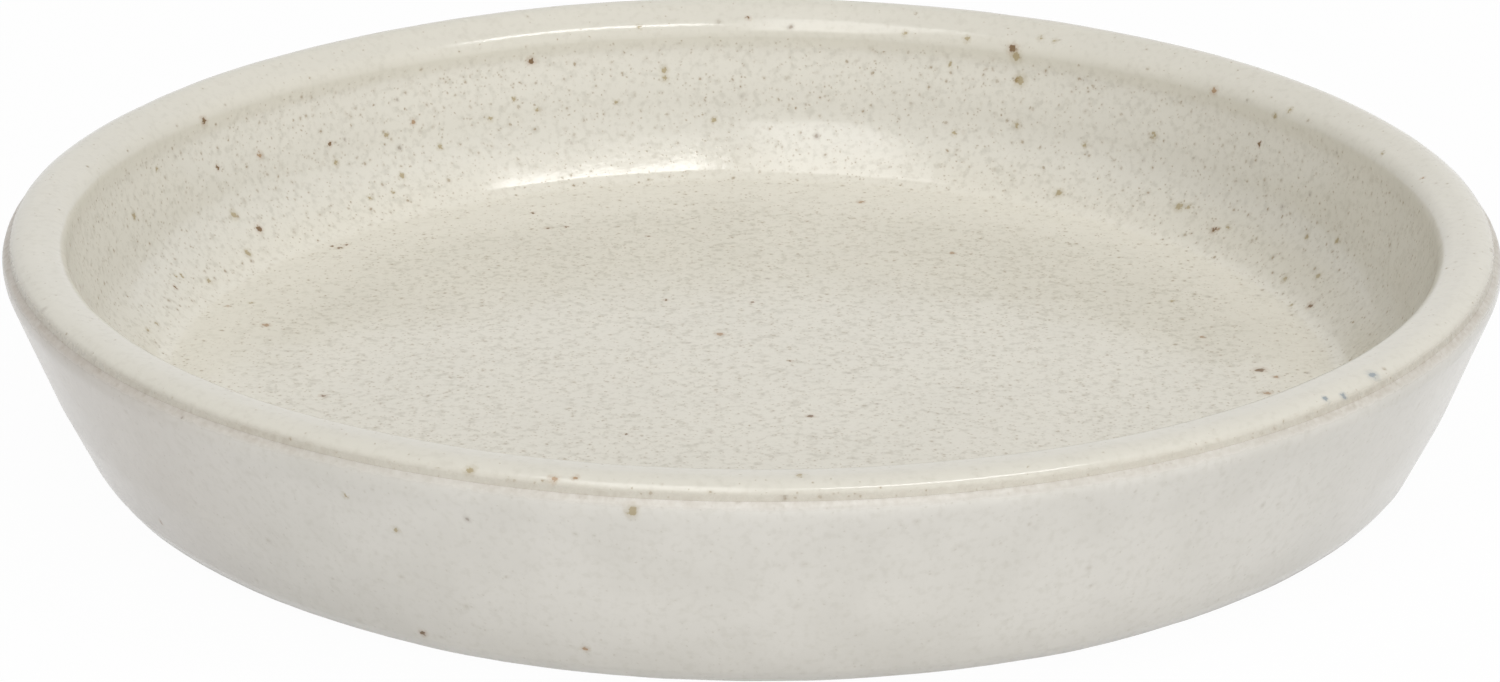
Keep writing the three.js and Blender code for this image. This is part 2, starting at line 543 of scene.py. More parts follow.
@dataclass(frozen=True)
class Dip:
    """A place where the bowl sank or drew in while it was fired."""

    angle: float
    reach: float  # degrees to either side
    inward: float
    drop: float = 0.0
    at_rim: bool = True  # most at the rim, or most at the foot

@dataclass(frozen=True)
class KilnWarp:
    """How far the fired bowl is from true, the same for the clay and for both coats."""

    wander: float = 0.2 * MM
    wander_size: float = 0.9  # in radii
    seed: float = 3.7
    rim_sink: float = 3.0 * MM  # how much lower the inner lip is at the back
    rim_lift: float = 0.85 * MM  # how much higher it is at the front
    rim_leans: tuple[float, float] = (147.0 * MM, 137.5 * MM)  # from none to all of it, towards the axis
    rim_lean_heights: tuple[float, float] = (24.0 * MM, 38.0 * MM)
    undercut: float = 0.2 * MM  # how far the face under the inner lip stands back, at the back
    undercut_heights: tuple[float, float, float] = (30.0 * MM, 38.5 * MM, 41.5 * MM)  # none, most, none
    undercut_radius: float = 144.0 * MM  # it lies inside this
    dips: tuple[Dip, ...] = (
        Dip(angle=138.0, reach=32.0, inward=0.2 * MM, drop=0.5 * MM),
        Dip(angle=217.0, reach=36.0, inward=1.5 * MM, at_rim=False),
        Dip(angle=316.0, reach=22.0, inward=0.9 * MM, at_rim=False),
    )


@dataclass(frozen=True)
class Skin:
    """How a piece is divided round its axis and rippled: inputs of the turning tree, by the same names."""

    segments: int
    ripple: float = 0.0
    ripple_size: float = 7.0 * MM
    lumps: float = 0.0
    lump_size: float = 19.0 * MM
    run_wander: float = 0.0  # how far a run line wanders along the clay
    run_size: float = 16.0 * MM
    seed: float = 11.0


class Turning:
    """A Geometry Nodes tree that turns a section about Z, warps it and ripples its free faces."""

    STORED = ("free", "thin", "crease", "pool", "wall", "rim")
    SLIDE = "slide"
    WELD = 0.002 * MM  # points closer than this are joined: at the seam, and on the axis
    SAG_SEED = 5.0  # sets the rim's sagging apart from its drawing in

    def __init__(self, warp: KilnWarp, height: float, radius: float) -> None:
        """Builds the tree.

        Args:
            warp: How far the bowl is from true.
            height: The bowl's height.
            radius: The bowl's radius.
        """
        self.warp = warp
        self.height = height
        self.radius = radius
        self.tree = bpy.data.node_groups.new("turned_piece", "GeometryNodeTree")
        self.wiring = Wiring(self.tree)
        self.sockets: dict[str, str] = {}
        self._build()

    def _input(self, name: str, kind: str) -> None:
        """Adds a named input to the tree and keeps its identifier."""
        socket = self.tree.interface.new_socket(name, in_out="INPUT", socket_type=kind)
        self.sockets[name] = socket.identifier

    def _build(self) -> None:
        """Lays the tree's nodes."""
        w = self.wiring
        self._input("section", "NodeSocketGeometry")
        self._input("closing_rows", "NodeSocketInt")
        self._input("finish", "NodeSocketMaterial")
        for item in fields(Skin):
            self._input(item.name, "NodeSocketInt" if item.type is int else "NodeSocketFloat")
        self.tree.interface.new_socket("piece", in_out="OUTPUT", socket_type="NodeSocketGeometry")
        given = w.node("NodeGroupInput").outputs

        # A grid with one column for each angle and one row for each station of the section
        stations = w.node("GeometryNodeAttributeDomainSize", {0: given["section"]}).outputs["Point Count"]
        rows = w.plus(stations, given["closing_rows"])
        columns = w.plus(given["segments"], 1.0)
        grid = w.node("GeometryNodeMeshGrid", {"Vertices X": columns, "Vertices Y": rows}).outputs["Mesh"]
        index = w.node("GeometryNodeInputIndex").outputs[0]
        column = w.math("FLOOR", w.math("DIVIDE", w.plus(index, 0.5), rows))
        row = w.minus(index, w.times(column, rows))
        station = w.math("MODULO", row, stations)
        angle = w.times(w.math("DIVIDE", column, given["segments"]), 2 * math.pi)
        outward = w.combined(w.math("COSINE", angle), w.math("SINE", angle), 0.0)

        # The section's own values, carried over to the grid
        for name in self.STORED:
            value = self._sampled(given["section"], station, self._named(name, "FLOAT"), "FLOAT")
            grid = self._stored(grid, name, value)
        place = w.node("GeometryNodeInputPosition").outputs[0]
        place = self._sampled(given["section"], station, place, "FLOAT_VECTOR")
        slide = self._named(self.SLIDE, "FLOAT_VECTOR")
        slide = self._sampled(given["section"], station, slide, "FLOAT_VECTOR")

        # The run line wanders along the clay
        run = self._swell(w.scaled(outward, self.radius), given, "run_wander", "run_size", 2.0)
        place = w.vector("ADD", place, w.scaled(slide, run))

        # Turned about Z, closed, and warped
        part = w.node("ShaderNodeSeparateXYZ", {0: place}).outputs
        turned = w.vector("ADD", w.scaled(outward, part[0]), w.combined(0.0, 0.0, part[2]))
        turned = w.vector("ADD", turned, self._warped(outward, part[0], part[2]))
        piece = w.node("GeometryNodeSetPosition", {"Geometry": grid, "Position": turned}).outputs[0]
        merged = w.node("GeometryNodeMergeByDistance", {"Geometry": piece, "Distance": self.WELD})
        piece = self._rippled(merged.outputs[0], given)
        piece = w.node("GeometryNodeSetShadeSmooth", {"Geometry": piece}).outputs[0]
        piece = w.node("GeometryNodeRealizeInstances", {"Geometry": piece}).outputs[0]
        dressed = w.node("GeometryNodeSetMaterial", {"Geometry": piece, "Material": given["finish"]})
        w.node("NodeGroupOutput", {0: dressed.outputs[0]})

    def _named(self, name: str, kind: str) -> Socket:
        """Reads a named attribute."""
        node = self.wiring.node("GeometryNodeInputNamedAttribute", {"Name": name}, data_type=kind)
        return node.outputs["Attribute"]

    def _sampled(self, section: Socket, station: Socket, value: Socket, kind: str) -> Socket:
        """Reads a value of the section at a station."""
        inputs = {"Geometry": section, "Value": value, "Index": station}
        return self.wiring.node("GeometryNodeSampleIndex", inputs, data_type=kind).outputs[0]

    def _stored(self, geometry: Socket, name: str, value: Socket) -> Socket:
        """Writes a number to every point, under a name that the finish reads."""
        inputs = {"Geometry": geometry, "Name": name, "Value": value}
        return self.wiring.node("GeometryNodeStoreNamedAttribute", inputs, data_type="FLOAT").outputs[0]

    def _swell(self, place: Socket, given: Any, height: str, size: str, detail: float) -> Socket:
        """Reads noise that swells to either side of 0.

        Args:
            place: Where it is read.
            given: The tree's inputs.
            height: The input for how far it goes from lowest to highest.
            size: The input for how large its lumps are.
            detail: Finer layers of noise on top.

        Returns:
            The swelling.
        """
        w = self.wiring
        noise = w.noise(place, w.math("DIVIDE", 1.0, given[size]), detail, given["seed"])
        return w.times(w.minus(noise.outputs[0], 0.5), given[height])

    def _near(self, outward: Socket, angle: float, reach: float) -> Socket:
        """Swells from 0 to 1 and back round an angle of the bowl.

        Args:
            outward: The direction away from the axis.
            angle: Where it is 1, in degrees.
            reach: How far it goes to either side, in degrees.

        Returns:
            The swelling.
        """
        turn = math.radians(angle)
        towards = (math.cos(turn), math.sin(turn), 0.0)
        facing = self.wiring.vector("DOT_PRODUCT", outward, towards, output="Value")
        return self.wiring.ramp(facing, math.cos(math.radians(reach)), 1.0)

    def _behind(self, outward: Socket, most: float) -> Socket:
        """Goes from a length at the bowl's back, through 0 at its sides, to minus that at its front."""
        return self.wiring.vector("DOT_PRODUCT", outward, (0.0, most, 0.0), output="Value")

    def _warped(self, outward: Socket, r: Socket, z: Socket) -> Socket:
        """Works out how far the kiln moved a point: in towards the axis, and down or up.

        Args:
            outward: The direction away from the axis.
            r: The point's distance from the axis.
            z: The point's height.

        Returns:
            The move.
        """
        w = self.wiring
        warp = self.warp
        rise = w.math("DIVIDE", z, self.height, clamp=True)
        spread = w.math("POWER", w.math("DIVIDE", r, self.radius, clamp=True), 2.0)
        at_rim = w.times(rise, spread)
        at_foot = w.times(w.minus(1.0, rise), spread)
        drift = w.noise(outward, 1 / warp.wander_size, 1.0, warp.seed)
        inward = w.times(drift.outputs[0], warp.wander, at_rim)
        sag = w.noise(outward, 1 / warp.wander_size, 1.0, warp.seed + self.SAG_SEED)
        drop = w.times(sag.outputs[0], warp.wander, at_rim)
        for dip in warp.dips:
            share = at_rim if dip.at_rim else at_foot
            here = w.times(self._near(outward, dip.angle, dip.reach), share)
            inward = w.plus(inward, w.times(here, dip.inward))
            drop = w.plus(drop, w.times(here, dip.drop))
        lean = w.times(w.ramp(r, *warp.rim_leans), w.ramp(z, *warp.rim_lean_heights))
        sink = self._behind(outward, warp.rim_sink)
        lift = self._behind(outward, warp.rim_lift)
        drop = w.plus(drop, w.times(lean, w.math("MAXIMUM", sink, lift)))
        low, middle, high = warp.undercut_heights
        under = w.times(w.ramp(z, low, middle), w.ramp(z, high, middle))
        under = w.times(under, w.math("LESS_THAN", r, warp.undercut_radius))
        under = w.times(under, w.math("MAXIMUM", self._behind(outward, warp.undercut), 0.0))
        towards_axis = w.scaled(outward, w.minus(under, inward))
        return w.vector("SUBTRACT", towards_axis, w.combined(0.0, 0.0, drop))

    def _rippled(self, piece: Socket, given: Any) -> Socket:
        """Moves the free faces in and out along their normals.

        Args:
            piece: The turned piece.
            given: The tree's inputs.

        Returns:
            The rippled piece.
        """
        w = self.wiring
        place = w.node("GeometryNodeInputPosition").outputs[0]
        normal = w.node("GeometryNodeInputNormal").outputs[0]
        ripple = self._swell(place, given, "ripple", "ripple_size", 1.0)
        lumps = self._swell(place, given, "lumps", "lump_size", 1.0)
        move = w.times(w.plus(ripple, lumps), self._named("free", "FLOAT"))
        inputs = {"Geometry": piece, "Offset": w.scaled(normal, move)}
        return w.node("GeometryNodeSetPosition", inputs).outputs[0]

    def turn(
        self, name: str, stations: Sequence[Station], closed: bool, skin: Skin, finish: bpy.types.Material
    ) -> bpy.types.Object:
        """Turns a section into a finished mesh.

        Args:
            name: The piece's name.
            stations: The section's points in order.
            closed: Whether the last station joins the first, as in a ring.
            skin: How it is divided and rippled.
            finish: The piece's material.

        Returns:
            The piece, a plain mesh with its place in it.
        """
        mesh = bpy.data.meshes.new(name)
        mesh.from_pydata([(s.r, 0.0, s.z) for s in stations], [], [])
        for key in self.STORED:
            values = mesh.attributes.new(key, "FLOAT", "POINT").data
            values.foreach_set("value", [getattr(s, key) for s in stations])
        slides = mesh.attributes.new(self.SLIDE, "FLOAT_VECTOR", "POINT").data
        slides.foreach_set("vector", [v for s in stations for v in (s.slide[0], 0.0, s.slide[1])])
        piece = bpy.data.objects.new(name, mesh)
        modifier = piece.modifiers.new("turning", "NODES")
        modifier.node_group = self.tree
        modifier[self.sockets["closing_rows"]] = 1 if closed else 0
        modifier[self.sockets["finish"]] = finish
        for item in fields(skin):
            modifier[self.sockets[item.name]] = getattr(skin, item.name)
        bpy.context.scene.collection.objects.link(piece)
        depsgraph = bpy.context.evaluated_depsgraph_get()
        done = bpy.data.meshes.new_from_object(
            piece.evaluated_get(depsgraph), preserve_all_data_layers=True, depsgraph=depsgraph
        )
        piece.modifiers.clear()
        piece.data = done
        done.name = name
        return piece


@dataclass(frozen=True)
class Speckle:
    """One size of speck that the clay's grit has bled into the glaze.

    Every cell of the pattern is about `spacing` across and may hold one speck.
    """

    spacing: float
    radius: float  # of the largest
    on_floor: float  # share of the cells that hold one, on the floor
    on_wall: float
    on_rim: float
    at_break: float  # more of them, where the glaze is thin
    strength: float  # how much of its colour its middle has
    halo: float  # how much of its colour bleeds round it
    colour: Colour
    seed: float
    smallest: float = 0.35  # share of the largest radius
    faintest: float = 0.4  # share of the full strength
    core: tuple[float, float] = (1.0, 0.45)  # in radii: where its middle begins, and where it is full
    bleed: tuple[float, float] = (2.4, 0.6)  # the same for what bleeds round it

    SHIFT: ClassVar[tuple[float, float, float]] = (1.0, 0.61, 0.37)  # from one seed's cells to the next's


@dataclass(frozen=True)
class Spot:
    """One large speck of the photographed bowl, by its pixel there and its radius on the bowl."""

    column: int
    row: int
    radius: float
    tone: Tone


PlacedSpot = tuple[Vector, float, Tone]


def specks(tone: Tone, radius: float, *pixels: tuple[int, int]) -> list[Spot]:
    """Lists specks of one tone and radius (in millimetres), by column and row in the photograph."""
    return [Spot(column, row, radius * MM, tone) for column, row in pixels]


@dataclass(frozen=True)
class CreamGlaze:
    """Cream glaze over a gritty clay: cloudy, specked, brown where it is thin, with painted shade in part on
    its walls, rim, crease, break and one side.
    """

    name: str
    cream: Colour
    cloud: Colour
    cloud_share: float
    mottle: Colour
    mottle_share: float
    speckles: tuple[Speckle, ...]
    clouding: Pattern = Pattern(22 * MM, 3.0, 0.35, 0.70, 1.0)
    mottling: Pattern = Pattern(1.6 * MM, 3.0, 0.46, 0.74, 2.0)
    rim_mottle: float = 0.5  # share of the mottling that is left on the rim
    bare: Colour = (0.26, 0.19, 0.115)
    bare_share: float = 0.50
    least_bare: float = 0.4  # how much of the break shows where it is least worn
    graining: Pattern = Pattern(1.3 * MM, 3.0, 0.25, 0.75, 4.0)
    wearing: Pattern = Pattern(28 * MM, 2.0, 0.30, 0.70, 5.0)
    side_wear_and_shade_share: float = 0.45  # how much more brown the break shows at the bowl's left and right: partly a stronger break in the glaze, partly painted shade where the lip turns away from the light
    sides: tuple[float, float] = (40 * MM, 140 * MM)  # from the middle: none of that, and all of it
    # Clay brown in the crease under the inner lip: partly thin glaze, partly painted shade.
    crease_brown_and_shade_share: float = 0.06
    pooled: Colour = (0.80, 0.77, 0.68)  # thick glaze hides the clay
    pool_share: float = 0.6
    drained_and_shade: Colour = (0.66, 0.65, 0.61)  # darker on the walls: partly glaze that drained and is thinner, partly painted shade
    drained_and_shade_share: float = 0.35
    rim_thin_glaze_and_shade: Colour = (0.62, 0.60, 0.535)  # darker on the rim: partly thinner glaze, partly painted shade on its top
    rim_share: float = 0.4
    stain_and_shade: Colour = (0.54, 0.49, 0.36)  # darker and yellower at one side: partly iron bled into the glaze, partly painted shade on the side away from the lamps on the right
    stain_and_shade_side: float = 1.0  # 1 at the bowl's right, -1 at its left
    stain_and_shade_reach: tuple[float, float] = (75 * MM, 125 * MM)  # from the middle: none of it, and all of it
    stain_and_shade_share: float = 0.12
    stain_and_shade_slope: float = 0.22  # and most of all on the slope there
    stained_specks: float = 0.5  # it comes with more specks
    ragged: tuple[float, float] = (0.9 * MM, 1.0 * MM)  # size and reach of what makes small specks ragged
    crumbled: tuple[float, float] = (0.8 * MM, 1.8 * MM)  # and large ones
    spot_core: tuple[float, float] = (0.95, 0.6)  # in radii: where a middle begins, and where it is full
    spot_bleed: tuple[float, float] = (2.6, 0.7)
    spot_halo: float = 0.30
    spot_strength: float = 0.7
    iron_strength: float = 0.9
    roughness: float = 0.08
    roughness_spread: float = 0.12
    roughness_size: float = 3.0 * MM
    bare_roughness: float = 0.35  # more of it, where the clay shows through
    gloss_index: float = 1.5
    peel: float = 0.02 * MM
    peel_size: float = 1.1 * MM
    ripple: float = 0.05 * MM
    ripple_size: float = 4.0 * MM

    def lay(self, material: bpy.types.Material, spots: Sequence[PlacedSpot]) -> None:
        """Builds the glaze's nodes.

        Args:
            material: The material that they go into.
            spots: Large specks: place on the bowl, radius and tone.
        """
        w = fresh_wiring(material)
        place = w.node("ShaderNodeTexCoord").outputs["Object"]
        across = w.node("ShaderNodeSeparateXYZ", {0: place}).outputs[0]
        names = ("thin", "wall", "rim", "pool", "crease")
        thin, wall, rim, pool, crease = (
            w.node("ShaderNodeAttribute", attribute_name=name).outputs["Fac"] for name in names
        )
        below_rim = w.minus(wall, rim, clamp=True)
        slope = w.times(wall, 4.0, w.minus(1.0, wall))  # 1 halfway up the slope, 0 on floor and wall
        # Darker, yellower glaze at one side, most on the slope there: partly iron stain, partly painted
        # shade away from the lamps on the right.
        stain_and_shade = w.plus(w.times(below_rim, self.stain_and_shade_share), w.times(slope, self.stain_and_shade_slope))
        stain_and_shade = w.times(stain_and_shade, w.ramp(w.times(across, self.stain_and_shade_side), *self.stain_and_shade_reach))
        mottle = w.times(self.mottling.shown(w, place), w.between(rim, 1.0, self.rim_mottle))

        colour: Any = self.cream
        for share, tint in (
            (w.times(self.clouding.shown(w, place), self.cloud_share), self.cloud),
            (w.times(mottle, self.mottle_share), self.mottle),
            (w.times(pool, self.pool_share), self.pooled),
            # Partly painted shade: darker walls below the rim.
            (w.times(below_rim, self.drained_and_shade_share), self.drained_and_shade),
            # Partly painted shade: a darker rim.
            (w.times(rim, self.rim_share), self.rim_thin_glaze_and_shade),
            # Partly painted shade: a darker, yellower side.
            (stain_and_shade, self.stain_and_shade),
        ):
            colour = w.mix(share, colour, tint)

        pits: Any = 0.0
        ragged = self._shaken(w, place, *self.ragged)
        for speckle in self.speckles:
            share = w.between(wall, speckle.on_floor, speckle.on_wall)
            share = w.plus(share, w.times(w.minus(speckle.on_rim, share), rim))
            share = w.plus(share, w.times(thin, speckle.at_break))
            share = w.plus(share, w.times(stain_and_shade, self.stained_specks))
            colour, cover = self._speckled(w, ragged, colour, speckle, share)
            pits = w.math("MAXIMUM", pits, cover)
        crumbled = self._shaken(w, place, *self.crumbled)
        for tone in Tone:
            own = [(centre, radius) for centre, radius, kind in spots if kind is tone]
            if own:
                colour, cover = self._spotted(w, crumbled, colour, own, tone)
                pits = w.math("MAXIMUM", pits, cover)

        grain = self.graining.shown(w, place)
        # The break's brown grows towards the bowl's left and right: partly a stronger break, partly painted
        # shade where the lip turns away from the light.
        side_wear_and_shade = w.times(w.ramp(w.math("ABSOLUTE", across), *self.sides), self.side_wear_and_shade_share)
        wear_and_side_shade = w.plus(side_wear_and_shade, w.times(self.wearing.shown(w, place), 1 - self.side_wear_and_shade_share))
        bare = w.times(w.between(wear_and_side_shade, self.least_bare, 1.0), thin, w.between(grain, self.least_bare, 1.0))
        colour = w.mix(w.times(bare, self.bare_share), colour, self.bare)
        # Clay brown in the crease under the inner lip: partly thin glaze, partly painted shade.
        colour = w.mix(w.times(crease, grain, self.crease_brown_and_shade_share), colour, self.bare)

        rough = w.noise(place, 1 / self.roughness_size, detail=3.0, seed=6.0).outputs[0]
        rough = w.between(rough, self.roughness, self.roughness + self.roughness_spread)
        rough = w.plus(rough, w.times(bare, self.bare_roughness))
        normal = self._relief(w, place, pits)
        inputs = {"Base Color": colour, "Roughness": rough, "IOR": self.gloss_index, "Normal": normal}
        shader = w.node("ShaderNodeBsdfPrincipled", inputs)
        w.node("ShaderNodeOutputMaterial", {"Surface": shader.outputs[0]})

    @staticmethod
    def _shaken(w: Wiring, place: Socket, size: float, reach: float) -> Socket:
        """Shakes a place a little, so that round specks get ragged edges.

        Args:
            w: The material's wiring.
            place: The place.
            size: Of the shaking's lumps.
            reach: How far it goes from end to end.

        Returns:
            The shaken place.
        """
        noise = w.noise(place, 1 / size, detail=2.0, seed=3.0).outputs[1]
        shake = w.vector("SUBTRACT", noise, (0.5, 0.5, 0.5))
        return w.vector("ADD", place, w.scaled(shake, reach))

    @staticmethod
    def _speckled(
        w: Wiring, place: Socket, colour: Socket, speckle: Speckle, share: Socket
    ) -> tuple[Socket, Socket]:
        """Adds one size of speck to a colour.

        Args:
            w: The material's wiring.
            place: Where the pattern is read.
            colour: The colour so far.
            speckle: The size of speck.
            share: How many of the pattern's cells hold a speck here.

        Returns:
            The new colour, and how far a speck covers the surface.
        """
        moved = w.vector("ADD", place, [speckle.seed * part for part in speckle.SHIFT])
        inputs = {"Vector": moved, "Scale": 1 / speckle.spacing}
        cells = w.node("ShaderNodeTexVoronoi", inputs, voronoi_dimensions="3D")
        chance, size, shade = w.node("ShaderNodeSeparateColor", {0: cells.outputs["Color"]}).outputs
        largest = speckle.radius / speckle.spacing
        radius = w.times(w.between(size, speckle.smallest, 1.0), largest)
        away = w.math("DIVIDE", cells.outputs["Distance"], radius)
        shown = w.times(w.between(shade, speckle.faintest, 1.0), w.math("LESS_THAN", chance, share))
        core = w.times(w.ramp(away, *speckle.core), shown)
        bleed = w.times(w.math("POWER", w.ramp(away, *speckle.bleed), 2.0), shown)
        cover = w.math("MAXIMUM", w.times(core, speckle.strength), w.times(bleed, speckle.halo))
        return w.mix(cover, colour, speckle.colour), core

    def _spotted(
        self, w: Wiring, place: Socket, colour: Socket, spots: Sequence[tuple[Vector, float]], tone: Tone
    ) -> tuple[Socket, Socket]:
        """Adds the large specks of one tone to a colour.

        Args:
            w: The material's wiring.
            place: Where the pattern is read.
            colour: The colour so far.
            spots: Each speck's place and radius.
            tone: What the specks are made of.

        Returns:
            The new colour, and how far a speck covers the surface.
        """
        nearest: Socket | None = None
        for centre, radius in spots:
            away = w.times(w.vector("DISTANCE", place, tuple(centre), output="Value"), 1 / radius)
            nearest = away if nearest is None else w.math("MINIMUM", nearest, away)
        core = w.ramp(nearest, *self.spot_core)
        bleed = w.times(w.math("POWER", w.ramp(nearest, *self.spot_bleed), 2.0), self.spot_halo)
        iron = tone is Tone.IRON
        rusty = w.mix(bleed, colour, Tone.RUST.value if iron else tone.value)
        strength = self.iron_strength if iron else self.spot_strength
        return w.mix(w.times(core, strength), rusty, tone.value), core

    def _relief(self, w: Wiring, place: Socket, pits: Socket) -> Socket:
        """Gives the glaze its fine skin: soft ripples, orange peel and a dimple at each speck.

        Args:
            w: The material's wiring.
            place: Where the pattern is read.
            pits: How far specks cover the surface.

        Returns:
            The normal for the shader.
        """
        peel = w.noise(place, 1 / self.peel_size, detail=2.0, seed=7.0).outputs[0]
        ripple = w.noise(place, 1 / self.ripple_size, detail=2.0, seed=8.0).outputs[0]
        height = w.plus(w.times(peel, self.peel), w.times(ripple, self.ripple))
        height = w.minus(height, w.times(pits, self.peel))
        bump = w.node("ShaderNodeBump", {"Height": w.math("DIVIDE", height, MM), "Distance": MM})
        return bump.outputs[0]


@dataclass(frozen=True)
class FiredClay:
    """Bare coarse stoneware, with grit in it and the rings of the turning tool."""

    name: str = "fired_clay"
    clay: Colour = (0.40, 0.26, 0.16)
    dark: Colour = (0.26, 0.16, 0.095)
    dark_share: float = 0.55
    toasting: Pattern = Pattern(18 * MM, 4.0, 0.35, 0.70, 1.0)
    grit: Colour = (0.56, 0.45, 0.33)
    pale_grit: float = 1.5 * MM  # spacing of its grains
    dark_grit: float = 2.6 * MM
    grain: tuple[float, float] = (0.36, 0.18)  # in spacings: where a grain begins, and where it is full
    grain_share: float = 0.7
    roughness: float = 0.88
    ring_pitch: float = 1.4 * MM
    ring_depth: float = 0.05 * MM
    ring_wobble: float = 1.5  # radians
    wobble_size: float = 15 * MM
    coarse_size: float = 0.8 * MM
    coarse_depth: float = 0.12 * MM

    def material(self) -> bpy.types.Material:
        """Builds the clay's material.

        Returns:
            The material.
        """
        material = bpy.data.materials.new(self.name)
        w = fresh_wiring(material)
        place = w.node("ShaderNodeTexCoord").outputs["Object"]
        colour = w.mix(w.times(self.toasting.shown(w, place), self.dark_share), self.clay, self.dark)
        for spacing, tint, seed in ((self.pale_grit, self.grit, 2.0), (self.dark_grit, self.dark, 3.0)):
            moved = w.vector("ADD", place, (seed, 0.0, 0.0))
            cells = w.node("ShaderNodeTexVoronoi", {"Vector": moved, "Scale": 1 / spacing})
            grain = w.ramp(cells.outputs["Distance"], *self.grain)
            colour = w.mix(w.times(grain, self.grain_share), colour, tint)
        reach = w.vector("LENGTH", w.vector("MULTIPLY", place, (1.0, 1.0, 0.0)), output="Value")
        wobble = w.noise(place, 1 / self.wobble_size, detail=2.0, seed=4.0).outputs[0]
        turns = w.times(reach, 2 * math.pi / self.ring_pitch)
        rings = w.math("SINE", w.plus(turns, w.times(wobble, self.ring_wobble)))
        coarse = w.noise(place, 1 / self.coarse_size, detail=4.0, seed=5.0).outputs[0]
        height = w.plus(w.times(rings, self.ring_depth / MM / 2), w.times(coarse, self.coarse_depth / MM))
        bump = w.node("ShaderNodeBump", {"Height": height, "Distance": MM})
        inputs = {"Base Color": colour, "Roughness": self.roughness, "Normal": bump.outputs[0]}
        shader = w.node("ShaderNodeBsdfPrincipled", inputs)
        w.node("ShaderNodeOutputMaterial", {"Surface": shader.outputs[0]})
        return material


@dataclass
class StonewareBody:
    """The fired clay: floor, flaring wall, rounded rim, bevelled foot and bare foot ring."""

    line: SectionLine
    finish: FiredClay = FiredClay()
    skin: Skin = Skin(segments=360)

    def build(self, turning: Turning) -> bpy.types.Object:
        """Turns the clay and hands it to the frame.

        Args:
            turning: The shared turning tree.

        Returns:
            The clay.
        """
        stations = [Station(max(p.x, 0.0), p.y) for p in self.line.points]
        body = turning.turn("bowl_clay", stations, False, self.skin, self.finish.material())
        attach(body, "root")
        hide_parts("stoneware_body")
        return body


@dataclass
class GlazeCoat(ABC):
    """One coat of glaze: a skin on the clay, thin at its edges and thick where it gathered."""

    line: SectionLine
    finish: CreamGlaze
    spots: tuple[Spot, ...]
    skin: Skin = Skin(segments=560, ripple=0.10 * MM, lumps=0.28 * MM)
    thickness: float = 0.7 * MM
    clearance: float = 0.02 * MM
    edge: float = 0.01 * MM
    taper: float = 1.6 * MM
    break_rise: float = -0.1 * MM  # from the middle of the outer lip's round to the break line
    break_width: float = 0.02 * MM
    break_reach: float = 2.0 * MM  # how far in from its edge the coat is thin enough to show brown
    break_full: float = 0.6 * MM  # and how far in the brown is at its strongest
    rim_ease: float = 3.0 * MM  # over which the looks of the rim go over into those of the wall
    crease_reach: float = 2.6 * MM
    bonded_every: int = 4  # the face on the clay is hidden, so it has one station in so many

    NAME: ClassVar[str]
    COAT: ClassVar[Coat]
    CLOSED: ClassVar[bool]
    EDGE_STEPS: ClassVar[tuple[float, ...]] = (0.03, 0.1, 0.22, 0.4, 0.65)  # shares of a thinning stretch

    @property
    def break_line(self) -> float:
        """Where the coats meet on the outer lip, as a length along the clay."""
        return self.line.marks["outer_lip"] + self.break_rise

    def feather(self, inward: float) -> float:
        """Gives the share of the full thickness at a distance in from the break line."""
        thin = self.edge / self.thickness
        return thin + (1 - thin) * self.eased(inward, 0.0, self.taper)

    def thinness(self, inward: float) -> float:
        """Tells how much of the clay shows through at a distance in from the break line."""
        return self.eased(inward, self.break_reach, self.break_full)

    @staticmethod
    def swelling(distance: float, reach: float) -> float:
        """Swells smoothly to 1 in the middle and back to 0 at its reach."""
        return max(0.0, 1 - (distance / reach) ** 2) ** 2

    @staticmethod
    def eased(value: float, low: float, high: float) -> float:
        """Eases from 0 at low to 1 at high, whichever of the two is larger."""
        share = min(max((value - low) / (high - low), 0.0), 1.0)
        return share * share * (3 - 2 * share)

    @abstractmethod
    def stations(self) -> list[Station]:
        """Lays the coat's section."""

    def placed_spots(self, piece: bpy.types.Object, camera: PhotoCamera) -> list[PlacedSpot]:
        """Finds where the photographed specks lie on the built coat.

        Args:
            piece: The built coat.
            camera: The photograph's viewpoint.

        Returns:
            Each speck's place on the coat, its radius and its tone.
        """
        tree = BVHTree.FromPolygons(
            [v.co for v in piece.data.vertices], [tuple(p.vertices) for p in piece.data.polygons]
        )
        placed = []
        for spot in self.spots:
            hit = tree.ray_cast(*camera.ray((spot.column, spot.row)))[0]
            if hit is not None:
                placed.append((hit, spot.radius, spot.tone))
        return placed

    def build(self, turning: Turning, camera: PhotoCamera) -> bpy.types.Object:
        """Turns the coat, dresses it and hands it to the frame.

        Args:
            turning: The shared turning tree.
            camera: The photograph's viewpoint.

        Returns:
            The finished coat.
        """
        material = bpy.data.materials.new(self.finish.name)
        piece = turning.turn(self.NAME, self.stations(), self.CLOSED, self.skin, material)
        self.finish.lay(material, self.placed_spots(piece, camera))
        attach(piece, "root")
        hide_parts(self.COAT.value)
        return piece


